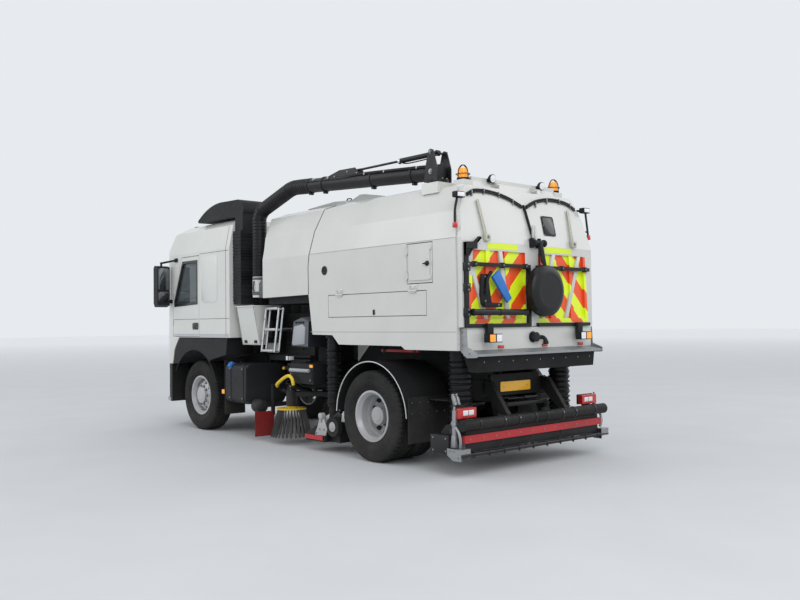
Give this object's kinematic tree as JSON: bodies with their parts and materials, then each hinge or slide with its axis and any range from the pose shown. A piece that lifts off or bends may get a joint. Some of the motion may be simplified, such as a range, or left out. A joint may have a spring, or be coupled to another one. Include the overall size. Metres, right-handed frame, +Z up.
{
  "type": "truck-mounted road sweeper",
  "caption": "Two-axle truck-mounted suction road sweeper: high-roof cab, tipping hopper with tailgate, overhead suction boom, side broom and full-width rear suction nozzle.",
  "frame": {"origin": "on the ground at the middle of the vehicle's length and width", "axes": "+X forward, +Y to the vehicle's left, +Z up"},
  "size_m": [7.2014, 3, 3.5448],
  "materials": {
    "white_paint": "gloss white paint",
    "black_paint": "satin black paint",
    "chassis_black": "satin chassis black with road dust",
    "black_plastic": "moulded black plastic",
    "grey_plastic": "moulded grey plastic",
    "brush_plastic": "yellow plate and steel-wire bristles",
    "interior_trim": "dark cab trim",
    "cast_metal": "dark cast metal",
    "tank_metal": "dark painted tank",
    "wheel_silver": "silver wheel paint",
    "galvanised": "galvanised steel",
    "ladder_alloy": "aluminium tube",
    "rod_chrome": "chromed rod",
    "tyre": "tyre rubber",
    "hose_rubber": "ribbed rubber hose",
    "window_glass": "tinted glass",
    "lamp_red": "red lens",
    "lamp_amber": "amber lens",
    "lamp_clear": "clear lens"
  },
  "bodies": {
    "root": {"chassis_frame": "chassis_black", "subframe": "chassis_black", "front_axle": "cast_metal", "rear_axle": "cast_metal", "driveline": "cast_metal", "cab_shell": "white_paint", "windscreen": "window_glass", "cab_interior": "interior_trim", "front_bumper": "white_paint", "mudguards": "black_plastic", "sweeper_engine": "cast_metal", "side_tanks": "tank_metal", "equipment_boxes": "black_plastic", "air_intake": "black_plastic", "mirrors": "black_plastic", "side_boxes": "white_paint", "access_ladder": "ladder_alloy", "pump_cover": "grey_plastic", "suction_hoses": "hose_rubber", "rear_underrun": "chassis_black", "rear_nozzle": "black_plastic", "chassis_lamps": "lamp_red", "side_nozzle": "black_plastic"},
    "knuckle_left": {"knuckle_left": "cast_metal"},
    "front_wheel_left": {"front_tyre_left": "tyre", "front_rim_left": "wheel_silver"},
    "rear_wheels_left": {"rear_tyres_left": "tyre", "rear_rims_left": "wheel_silver"},
    "door_left": {"cab_door_left": "white_paint", "door_glass_left": "window_glass"},
    "knuckle_right": {"knuckle_right": "cast_metal"},
    "front_wheel_right": {"front_tyre_right": "tyre", "front_rim_right": "wheel_silver"},
    "rear_wheels_right": {"rear_tyres_right": "tyre", "rear_rims_right": "wheel_silver"},
    "door_right": {"cab_door_right": "white_paint", "door_glass_right": "window_glass"},
    "hopper": {"hopper_shell": "white_paint", "fan_housing": "white_paint", "rear_sill": "galvanised", "hopper_lamps": "lamp_amber"},
    "gate": {"tailgate": "white_paint", "tailgate_fittings": "black_paint", "tailgate_lamps": "lamp_clear"},
    "hatch": {"side_hatch": "white_paint"},
    "locker_left": {"locker_door_left": "white_paint"},
    "locker_right": {"locker_door_right": "white_paint"},
    "mast": {"boom_mast": "black_paint"},
    "boom": {"boom_arm": "black_paint", "boom_hose": "hose_rubber"},
    "boom_barrel": {"boom_ram": "black_paint"},
    "boom_rod": {"boom_ram_rod": "rod_chrome"},
    "brush_arm": {"broom_arm": "galvanised"},
    "brush": {"broom": "brush_plastic"},
    "nozzle_castor": {"nozzle_wheel": "tyre"},
    "tip_barrel": {"tip_ram": "black_paint"},
    "tip_rod": {"tip_ram_rod": "rod_chrome"}
  },
  "joints": [
    {"name": "steer_left", "type": "hinge", "parent": "root", "child": "knuckle_left", "pos_m": [2.25, 0.87, 0.53], "axis": [0, 0, 1], "range_deg": [-35, 35]},
    {"name": "front_spin_left", "type": "hinge", "parent": "knuckle_left", "child": "front_wheel_left", "pos_m": [2.25, 1, 0.53], "axis": [0, 1, 0], "continuous": true},
    {"name": "rear_spin_left", "type": "hinge", "parent": "root", "child": "rear_wheels_left", "pos_m": [-2, 0.9225, 0.53], "axis": [0, 1, 0], "continuous": true},
    {"name": "door_hinge_left", "type": "hinge", "parent": "root", "child": "door_left", "pos_m": [2.93, 1.245, 2], "axis": [0, 0, -1], "range_deg": [0, 75]},
    {"name": "steer_right", "type": "hinge", "parent": "root", "child": "knuckle_right", "pos_m": [2.25, -0.87, 0.53], "axis": [0, 0, 1], "range_deg": [-35, 35]},
    {"name": "front_spin_right", "type": "hinge", "parent": "knuckle_right", "child": "front_wheel_right", "pos_m": [2.25, -1, 0.53], "axis": [0, 1, 0], "continuous": true},
    {"name": "rear_spin_right", "type": "hinge", "parent": "root", "child": "rear_wheels_right", "pos_m": [-2, -0.9225, 0.53], "axis": [0, 1, 0], "continuous": true},
    {"name": "door_hinge_right", "type": "hinge", "parent": "root", "child": "door_right", "pos_m": [2.93, -1.245, 2], "axis": [0, 0, 1], "range_deg": [0, 75]},
    {"name": "hopper_tip", "type": "hinge", "parent": "root", "child": "hopper", "pos_m": [-3.22, 0, 1.15], "axis": [0, -1, 0], "range_deg": [0, 50]},
    {"name": "gate_lift", "type": "hinge", "parent": "hopper", "child": "gate", "pos_m": [-3.225, 0, 3.14], "axis": [0, 1, 0], "range_deg": [0, 85]},
    {"name": "hatch_hinge", "type": "hinge", "parent": "hopper", "child": "hatch", "pos_m": [-2.566, 1.1616, 2.26], "axis": [0, 0, -1], "range_deg": [0, 100]},
    {"name": "locker_hinge_left", "type": "hinge", "parent": "hopper", "child": "locker_left", "pos_m": [-1.98, 1.1616, 1.959], "axis": [1, 0, 0], "range_deg": [0, 95]},
    {"name": "locker_hinge_right", "type": "hinge", "parent": "hopper", "child": "locker_right", "pos_m": [-1.98, -1.1616, 1.959], "axis": [-1, 0, 0], "range_deg": [0, 95]},
    {"name": "boom_slew", "type": "hinge", "parent": "hopper", "child": "mast", "pos_m": [-2.8, 0.88, 3.17], "axis": [0, 0, 1], "range_deg": [0, 95]},
    {"name": "boom_lift", "type": "hinge", "parent": "mast", "child": "boom", "pos_m": [-2.8, 0.88, 3.29], "axis": [0.0428, -0.9991, 0], "range_deg": [0, 15]},
    {"name": "boom_barrel_pivot", "type": "hinge", "parent": "mast", "child": "boom_barrel", "pos_m": [-2.8, 0.88, 3.51], "axis": [0.0428, -0.9991, 0], "range_deg": [-1, 16]},
    {"name": "boom_rod_slide", "type": "slide", "parent": "boom_barrel", "child": "boom_rod", "axis": [0.9991, 0.0428, -0.0027], "range_m": [-0.06, 0]},
    {"name": "brush_swing", "type": "hinge", "parent": "root", "child": "brush_arm", "pos_m": [-0.45, 0.62, 0.66], "axis": [0, 0, 1], "range_deg": [0, 28]},
    {"name": "brush_spin", "type": "hinge", "parent": "brush_arm", "child": "brush", "pos_m": [0, 0.98, 0.45], "axis": [0, 0, 1], "continuous": true},
    {"name": "castor_spin", "type": "hinge", "parent": "root", "child": "nozzle_castor", "pos_m": [-1.2, 1.16, 0.335], "axis": [0, 1, 0], "continuous": true},
    {"name": "tip_barrel_pivot", "type": "hinge", "parent": "root", "child": "tip_barrel", "pos_m": [-2.89, 0, 0.842], "axis": [0, -1, 0], "range_deg": [-1, 20]},
    {"name": "tip_rod_slide", "type": "slide", "parent": "tip_barrel", "child": "tip_rod", "axis": [0.0845, 0, 0.9964], "range_m": [0, 0.28]}
  ],
  "couplings": [
    {"joint": "steer_right", "follows": "steer_left", "ratio": 1},
    {"joint": "boom_barrel_pivot", "follows": "boom_lift", "ratio": 1.0144},
    {"joint": "boom_rod_slide", "follows": "boom_lift", "m_per_rad": -0.2175},
    {"joint": "tip_barrel_pivot", "follows": "hopper_tip", "ratio": 0.3681},
    {"joint": "tip_rod_slide", "follows": "hopper_tip", "m_per_rad": 0.31385}
  ]
}
